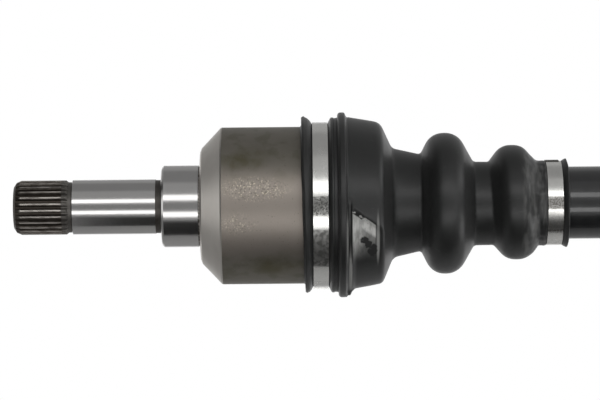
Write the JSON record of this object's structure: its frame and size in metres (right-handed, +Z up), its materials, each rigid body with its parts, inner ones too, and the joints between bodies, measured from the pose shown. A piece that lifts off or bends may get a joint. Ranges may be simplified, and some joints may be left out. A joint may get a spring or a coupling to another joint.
{
  "type": "drive shaft",
  "caption": "Car drive shaft with a plunging tripod joint and splined stub at the gearbox end, a tubular bar, and a ball joint with a splined, threaded stub at the wheel end.",
  "frame": {"origin": "on the shaft's axis, in the middle of the oil-seal journal of the gearbox-side joint", "axes": "+X along the shaft from the gearbox to the wheel, +Z up; the outer joint steers about Z"},
  "size_m": [0.6044, 0.0972, 0.0919],
  "materials": {
    "forged_steel": "dark oxide on the forging, ground bright on the journals",
    "black_paint": "gloss",
    "bearing_steel": "hardened and ground, greased",
    "spring_steel": "black oxide",
    "clamp_steel": "stainless strip",
    "boot_rubber": "matt with a soft sheen"
  },
  "bodies": {
    "bar": {"bar": "black_paint", "spider": "bearing_steel", "needle_rollers_a": "bearing_steel", "needle_rollers_b": "bearing_steel", "needle_rollers_c": "bearing_steel", "roller_retainers": "spring_steel", "trunnion_snap_rings": "spring_steel", "spider_circlip": "spring_steel", "spider_stop_ring": "spring_steel", "inner_race": "bearing_steel", "inner_race_circlip": "spring_steel", "inner_boot_small_clamp": "clamp_steel", "outer_boot_small_clamp": "clamp_steel"},
    "roller_a": {"tripod_roller_a": "bearing_steel"},
    "roller_b": {"tripod_roller_b": "bearing_steel"},
    "roller_c": {"tripod_roller_c": "bearing_steel"},
    "inner_boot": {"inner_boot": "boot_rubber"},
    "inner_housing": {"inner_housing": "forged_steel", "inner_boot_large_clamp": "clamp_steel"},
    "outer_boot": {"outer_boot": "boot_rubber"},
    "outer_housing": {"outer_housing": "forged_steel", "outer_boot_large_clamp": "clamp_steel"},
    "axis_ball": {"ball_1": "bearing_steel"},
    "cage": {"ball_cage": "bearing_steel", "ball_2": "bearing_steel", "ball_3": "bearing_steel", "ball_4": "bearing_steel", "ball_5": "bearing_steel", "ball_6": "bearing_steel"}
  },
  "joints": [
    {"name": "inner_bend", "type": "hinge", "parent": "bar", "child": "inner_boot", "pos_m": [0.05315, 0, 0], "axis": [0, 1, 0], "range_deg": [-15, 15], "deforming": ["inner_boot"]},
    {"name": "inner_plunge", "type": "slide", "parent": "inner_boot", "child": "inner_housing", "axis": [1, 0, 0], "range_m": [-0.01, 0.01]},
    {"name": "roller_a_spin", "type": "hinge", "parent": "bar", "child": "roller_a", "pos_m": [0.05315, 0, 0], "axis": [0, 0, 1], "continuous": true},
    {"name": "roller_b_spin", "type": "hinge", "parent": "bar", "child": "roller_b", "pos_m": [0.05315, 0, 0], "axis": [0, -0.866, -0.5], "continuous": true},
    {"name": "roller_c_spin", "type": "hinge", "parent": "bar", "child": "roller_c", "pos_m": [0.05315, 0, 0], "axis": [0, 0.866, -0.5], "continuous": true},
    {"name": "outer_bend", "type": "hinge", "parent": "bar", "child": "outer_boot", "pos_m": [0.42315, 0, 0], "axis": [0, 1, 0], "range_deg": [-8, 8], "deforming": ["outer_boot"]},
    {"name": "outer_steer", "type": "hinge", "parent": "outer_boot", "child": "outer_housing", "pos_m": [0.42315, 0, 0], "axis": [0, 0, 1], "range_deg": [-40, 40]},
    {"name": "cage_bend", "type": "hinge", "parent": "bar", "child": "axis_ball", "pos_m": [0.42315, 0, 0], "axis": [0, 1, 0], "range_deg": [-4, 4]},
    {"name": "cage_steer", "type": "hinge", "parent": "axis_ball", "child": "cage", "pos_m": [0.42315, 0, 0], "axis": [0, 0, 1], "range_deg": [-20, 20]}
  ],
  "couplings": [
    {"joint": "cage_steer", "follows": "outer_steer", "ratio": 0.5},
    {"joint": "cage_bend", "follows": "outer_bend", "ratio": 0.5}
  ]
}
